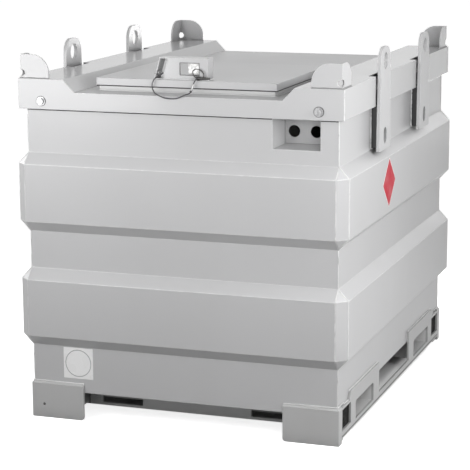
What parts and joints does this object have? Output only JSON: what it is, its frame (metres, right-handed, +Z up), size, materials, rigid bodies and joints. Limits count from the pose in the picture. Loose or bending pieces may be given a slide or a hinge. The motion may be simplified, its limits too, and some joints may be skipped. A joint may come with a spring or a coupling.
{
  "type": "diesel storage and transport tank",
  "caption": "Square bunded steel tank with two pressed belts, a raised collar, a hinged lid, lifting lugs, stacking guides and fork pockets.",
  "frame": {"origin": "on the ground under the middle of the tank", "axes": "+X to the right seen from the front, +Y to the rear, +Z up; the front with the hose port recess looks to -Y"},
  "size_m": [1.197, 1.582, 1.31],
  "materials": {
    "grey_gloss_paint": "gloss",
    "zinc_plated_steel": "satin",
    "dark_spring_steel": "satin",
    "lanyard_wire": "satin"
  },
  "bodies": {
    "tank": {"wall_front": "grey_gloss_paint", "wall_rear": "grey_gloss_paint", "wall_left": "grey_gloss_paint", "wall_right": "grey_gloss_paint", "tank_floor": "grey_gloss_paint", "roof_deck": "grey_gloss_paint", "hatch_coaming": "grey_gloss_paint", "equipment_bay": "grey_gloss_paint", "collar_front": "grey_gloss_paint", "collar_rear": "grey_gloss_paint", "collar_left": "grey_gloss_paint", "collar_right": "grey_gloss_paint", "side_rail_left": "grey_gloss_paint", "side_rail_right": "grey_gloss_paint", "fork_tunnel_front": "grey_gloss_paint", "fork_tunnel_rear": "grey_gloss_paint", "cross_rail_front": "grey_gloss_paint", "cross_rail_rear": "grey_gloss_paint", "port_recess": "grey_gloss_paint", "corner_guide_front_left": "grey_gloss_paint", "corner_guide_front_right": "grey_gloss_paint", "corner_guide_rear_left": "grey_gloss_paint", "corner_guide_rear_right": "grey_gloss_paint", "lifting_lug_front_left": "grey_gloss_paint", "lifting_lug_front_right": "grey_gloss_paint", "lifting_lug_rear_left": "grey_gloss_paint", "lifting_lug_rear_right": "grey_gloss_paint", "foot_front_left": "grey_gloss_paint", "foot_front_right": "grey_gloss_paint", "foot_rear_left": "grey_gloss_paint", "foot_rear_right": "grey_gloss_paint", "fascia_bolts": "zinc_plated_steel", "lid_hinge_blocks": "zinc_plated_steel"},
    "lid": {"lid": "grey_gloss_paint", "lid_hood": "grey_gloss_paint", "lid_hinge_leaves": "zinc_plated_steel", "lock_plate": "zinc_plated_steel", "lock_pin": "dark_spring_steel", "lock_lanyard": "lanyard_wire"}
  },
  "joints": [
    {"name": "lid_hinge", "type": "hinge", "parent": "tank", "child": "lid", "pos_m": [0, -0.08, 1.205], "axis": [-1, 0, 0], "range_deg": [0, 100]}
  ]
}
